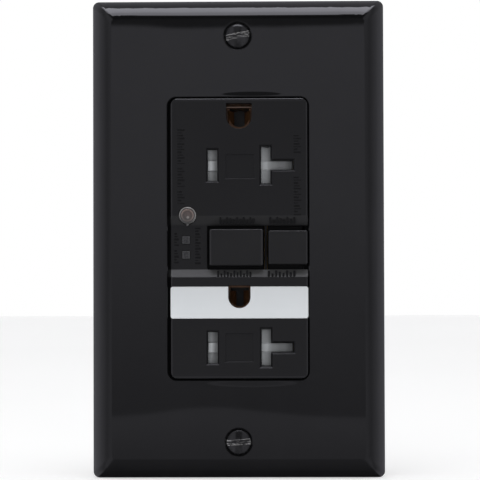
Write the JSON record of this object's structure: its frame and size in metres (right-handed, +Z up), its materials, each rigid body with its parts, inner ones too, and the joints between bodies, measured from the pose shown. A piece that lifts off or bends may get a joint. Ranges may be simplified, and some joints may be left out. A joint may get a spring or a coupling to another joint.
{
  "type": "gfci outlet",
  "caption": "Black decorator GFCI duplex receptacle with wall plate, test and reset buttons, tamper-resistant shutters, nightlight band and photocell.",
  "frame": {"origin": "centre of the device on the wall surface, midway between the two box screws", "axes": "+X right seen from the room, +Y into the wall, +Z up"},
  "size_m": [0.0699, 0.0347, 0.1142],
  "materials": {
    "plate_plastic": "glossy moulded black",
    "face_plastic": "semi-gloss moulded black",
    "button_plastic": "semi-gloss moulded black",
    "nightlight_plastic": "translucent white",
    "clear_plastic": "clear moulded",
    "pipe_plastic": "smoky translucent",
    "shutter_plastic": "pale grey moulded",
    "black_metal_screw": "black, worn bright in the slot",
    "strap_steel": "zinc plated",
    "zinc_steel": "zinc plated",
    "brass": "rolled brass",
    "brass_screw": "brass plated",
    "silver_screw": "nickel plated",
    "green_screw": "green dyed zinc",
    "copper_alloy": "phosphor bronze",
    "carrier_plastic": "dark grey glass-filled",
    "rear_plastic": "black glass-filled",
    "white_plastic": "natural nylon",
    "fibre": "fibre board",
    "board_green": "solder mask",
    "component_black": "moulded epoxy",
    "ceramic_blue": "coated ceramic",
    "can_aluminium": "sleeved can",
    "ferrite": "wound core",
    "copper_wire": "enamelled copper",
    "led_yellow": "phosphor",
    "spring_steel": "music wire",
    "tin_copper": "tinned copper"
  },
  "bodies": {
    "housing": {"wall_plate": "plate_plastic", "wall_plate_screws": "black_metal_screw", "front_cover": "face_plastic", "nightlight_lens": "nightlight_plastic", "photocell_lens": "clear_plastic", "indicator_light_pipes": "pipe_plastic", "sensor_board": "board_green", "nightlight_leds": "led_yellow", "photocell_sensor": "component_black", "indicator_leds": "led_yellow", "mounting_strap": "strap_steel", "upper_ground_contact": "copper_alloy", "lower_ground_contact": "copper_alloy", "device_mounting_screws": "zinc_steel", "screw_retainers": "fibre", "contact_carrier": "carrier_plastic", "hot_face_contact": "brass", "neutral_face_contact": "brass", "circuit_board": "board_green", "board_components": "component_black", "varistor": "ceramic_blue", "filter_capacitor": "can_aluminium", "transformer_housing": "white_plastic", "sensing_toroids": "ferrite", "line_conductors": "tin_copper", "solenoid_frame": "zinc_steel", "solenoid_bobbin": "white_plastic", "solenoid_winding": "copper_wire", "rear_cover": "rear_plastic", "assembly_screws": "zinc_steel", "line_hot_terminal": "brass", "line_neutral_terminal": "tin_copper", "load_hot_terminal": "brass", "load_neutral_terminal": "tin_copper", "upper_shutter_spring": "spring_steel", "lower_shutter_spring": "spring_steel", "reset_spring": "spring_steel", "plunger_spring": "spring_steel"},
    "upper_shutter": {"upper_shutter": "shutter_plastic"},
    "lower_shutter": {"lower_shutter": "shutter_plastic"},
    "reset_button": {"reset_button": "button_plastic"},
    "test_button": {"test_button": "button_plastic"},
    "test_leaf": {"test_leaf": "copper_alloy"},
    "latch_block": {"latch_block": "white_plastic"},
    "latch_plate": {"latch_plate": "zinc_steel"},
    "hot_contact_arm": {"hot_contact_arm": "copper_alloy"},
    "neutral_contact_arm": {"neutral_contact_arm": "copper_alloy"},
    "solenoid_plunger": {"solenoid_plunger": "zinc_steel"},
    "ground_clamp": {"ground_clamp": "zinc_steel"},
    "ground_screw": {"ground_screw": "green_screw"},
    "line_hot_clamp": {"line_hot_clamp": "zinc_steel"},
    "line_hot_screw": {"line_hot_screw": "brass_screw"},
    "line_neutral_clamp": {"line_neutral_clamp": "zinc_steel"},
    "line_neutral_screw": {"line_neutral_screw": "silver_screw"},
    "load_hot_clamp": {"load_hot_clamp": "zinc_steel"},
    "load_hot_screw": {"load_hot_screw": "brass_screw"},
    "load_neutral_clamp": {"load_neutral_clamp": "zinc_steel"},
    "load_neutral_screw": {"load_neutral_screw": "silver_screw"}
  },
  "joints": [
    {"name": "upper_shutter_slide", "type": "slide", "parent": "housing", "child": "upper_shutter", "axis": [1, 0, 0], "range_m": [0, 0.0022], "deforming": ["upper_shutter_spring"]},
    {"name": "lower_shutter_slide", "type": "slide", "parent": "housing", "child": "lower_shutter", "axis": [1, 0, 0], "range_m": [0, 0.0022], "deforming": ["lower_shutter_spring"]},
    {"name": "reset_press", "type": "slide", "parent": "housing", "child": "reset_button", "axis": [0, 1, 0], "range_m": [-0.0012, 0.0016], "deforming": ["reset_spring"]},
    {"name": "test_press", "type": "slide", "parent": "housing", "child": "test_button", "axis": [0, 1, 0], "range_m": [0, 0.0016]},
    {"name": "test_leaf_flex", "type": "hinge", "parent": "housing", "child": "test_leaf", "pos_m": [0.0116, 0.00595, -0.0125], "axis": [-1, 0, 0], "range_deg": [0, 8.8]},
    {"name": "latch_release", "type": "slide", "parent": "housing", "child": "latch_block", "axis": [0, 1, 0], "range_m": [0, 0.0012]},
    {"name": "hot_arm_open", "type": "hinge", "parent": "housing", "child": "hot_contact_arm", "pos_m": [-0.00635, 0.0094, 0.01425], "axis": [1, 0, 0], "range_deg": [0, 4.6]},
    {"name": "neutral_arm_open", "type": "hinge", "parent": "housing", "child": "neutral_contact_arm", "pos_m": [0.00635, 0.0094, 0.01425], "axis": [1, 0, 0], "range_deg": [0, 4.6]},
    {"name": "plunger_stroke", "type": "slide", "parent": "housing", "child": "solenoid_plunger", "axis": [0, 0, -1], "range_m": [0, 0.0015], "deforming": ["plunger_spring"]},
    {"name": "latch_plate_slide", "type": "slide", "parent": "housing", "child": "latch_plate", "axis": [0, 0, -1], "range_m": [0, 0.0015]},
    {"name": "line_hot_clamp_close", "type": "slide", "parent": "housing", "child": "line_hot_clamp", "axis": [1, 0, 0], "range_m": [0, 0.00119]},
    {"name": "line_hot_screw_turn", "type": "hinge", "parent": "line_hot_clamp", "child": "line_hot_screw", "pos_m": [-0.0205, 0.0175, -0.017], "axis": [1, 0, 0], "range_deg": [0, 540]},
    {"name": "line_neutral_clamp_close", "type": "slide", "parent": "housing", "child": "line_neutral_clamp", "axis": [-1, 0, 0], "range_m": [0, 0.00119]},
    {"name": "line_neutral_screw_turn", "type": "hinge", "parent": "line_neutral_clamp", "child": "line_neutral_screw", "pos_m": [0.0205, 0.0175, -0.017], "axis": [-1, 0, 0], "range_deg": [0, 540]},
    {"name": "load_hot_clamp_close", "type": "slide", "parent": "housing", "child": "load_hot_clamp", "axis": [1, 0, 0], "range_m": [0, 0.00119]},
    {"name": "load_hot_screw_turn", "type": "hinge", "parent": "load_hot_clamp", "child": "load_hot_screw", "pos_m": [-0.0205, 0.0175, 0.017], "axis": [1, 0, 0], "range_deg": [0, 540]},
    {"name": "load_neutral_clamp_close", "type": "slide", "parent": "housing", "child": "load_neutral_clamp", "axis": [-1, 0, 0], "range_m": [0, 0.00119]},
    {"name": "load_neutral_screw_turn", "type": "hinge", "parent": "load_neutral_clamp", "child": "load_neutral_screw", "pos_m": [0.0205, 0.0175, 0.017], "axis": [-1, 0, 0], "range_deg": [0, 540]},
    {"name": "ground_clamp_close", "type": "slide", "parent": "housing", "child": "ground_clamp", "axis": [1, 0, 0], "range_m": [0, 0.00119]},
    {"name": "ground_screw_turn", "type": "hinge", "parent": "ground_clamp", "child": "ground_screw", "pos_m": [-0.021, 0.0056, -0.0306], "axis": [1, 0, 0], "range_deg": [0, 540]}
  ],
  "couplings": [
    {"joint": "test_leaf_flex", "follows": "test_press", "rad_per_m": 95.238},
    {"joint": "hot_arm_open", "follows": "latch_release", "rad_per_m": 65.574},
    {"joint": "neutral_arm_open", "follows": "latch_release", "rad_per_m": 65.574},
    {"joint": "latch_plate_slide", "follows": "plunger_stroke", "ratio": 1},
    {"joint": "line_hot_screw_turn", "follows": "line_hot_clamp_close", "rad_per_m": 7915.8},
    {"joint": "line_neutral_screw_turn", "follows": "line_neutral_clamp_close", "rad_per_m": 7915.8},
    {"joint": "load_hot_screw_turn", "follows": "load_hot_clamp_close", "rad_per_m": 7915.8},
    {"joint": "load_neutral_screw_turn", "follows": "load_neutral_clamp_close", "rad_per_m": 7915.8},
    {"joint": "ground_screw_turn", "follows": "ground_clamp_close", "rad_per_m": 7915.8}
  ]
}
